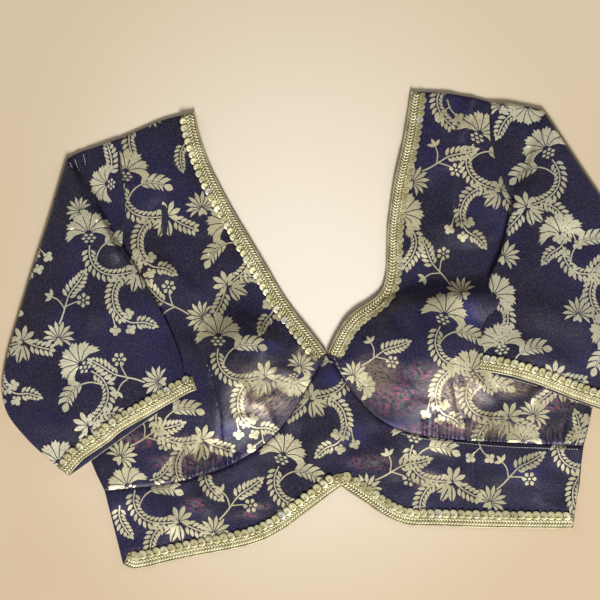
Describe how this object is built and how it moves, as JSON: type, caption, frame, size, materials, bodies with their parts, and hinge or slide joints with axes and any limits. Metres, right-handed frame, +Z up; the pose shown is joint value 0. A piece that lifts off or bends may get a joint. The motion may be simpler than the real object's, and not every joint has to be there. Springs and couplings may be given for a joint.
{
  "type": "choli blouse",
  "caption": "Short fitted blouse laid flat, front up: cupped front with pointed under-bust band and notched hem, deep V neck, elbow sleeves folded over the sides, braided edges.",
  "frame": {"origin": "centre of the laid garment's footprint, on the surface that it lies on", "axes": "+X across the garment towards its right-hand sleeve as laid, +Y up towards the shoulders, +Z up from the surface"},
  "size_m": [0.564, 0.4048, 0.0186],
  "materials": {
    "navy_brocade": "silk brocade with woven antique-gold vine",
    "zari_braid": "metallic braid with sequins"
  },
  "bodies": {
    "root": {"front_left": "navy_brocade", "front_right": "navy_brocade", "front_band": "navy_brocade", "back_left": "navy_brocade", "back_right": "navy_brocade", "sleeve_left": "navy_brocade", "sleeve_right": "navy_brocade", "neck_trim_left": "zari_braid", "neck_trim_right": "zari_braid", "hem_trim": "zari_braid", "cuff_trim_left": "zari_braid", "cuff_trim_right": "zari_braid"}
  },
  "joints": []
}
